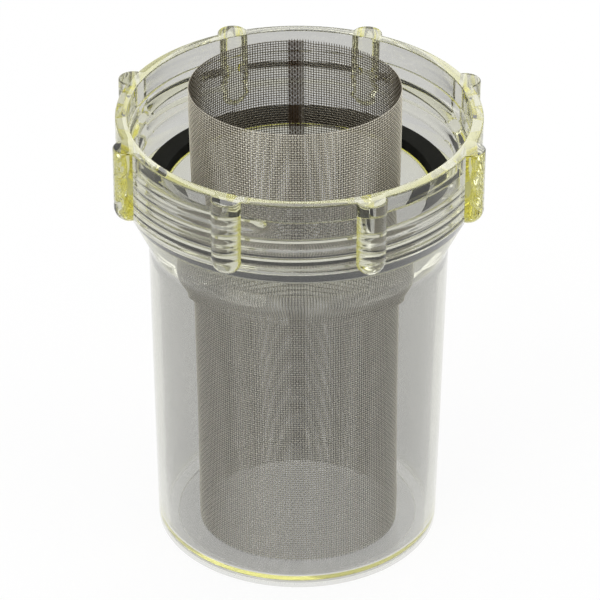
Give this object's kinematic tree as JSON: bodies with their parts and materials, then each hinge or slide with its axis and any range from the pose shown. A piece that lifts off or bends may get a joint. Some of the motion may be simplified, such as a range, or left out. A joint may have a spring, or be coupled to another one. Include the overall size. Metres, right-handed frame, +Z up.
{
  "type": "sea water strainer bowl with screen",
  "caption": "Clear screw-on bowl for a sea water strainer, with grip lobes round an inside-threaded collar, a flat gasket on its ledge and an upright woven wire screen inside.",
  "frame": {"origin": "centre of the bowl's foot, on the plane it stands on", "axes": "+Z up along the bowl's axis, out of its mouth; -Y is the front, and the screen's lapped seam faces +Y"},
  "size_m": [0.1118, 0.1118, 0.1575],
  "materials": {
    "clear_plastic": "clear polished moulding, slightly yellow where it is thick",
    "black_rubber": "matte",
    "steel_wire": "plain woven stainless wire, spot-weld tint along the seam"
  },
  "bodies": {
    "root": {"strainer_bowl": "clear_plastic", "gasket": "black_rubber", "mesh_screen": "steel_wire"}
  },
  "joints": []
}
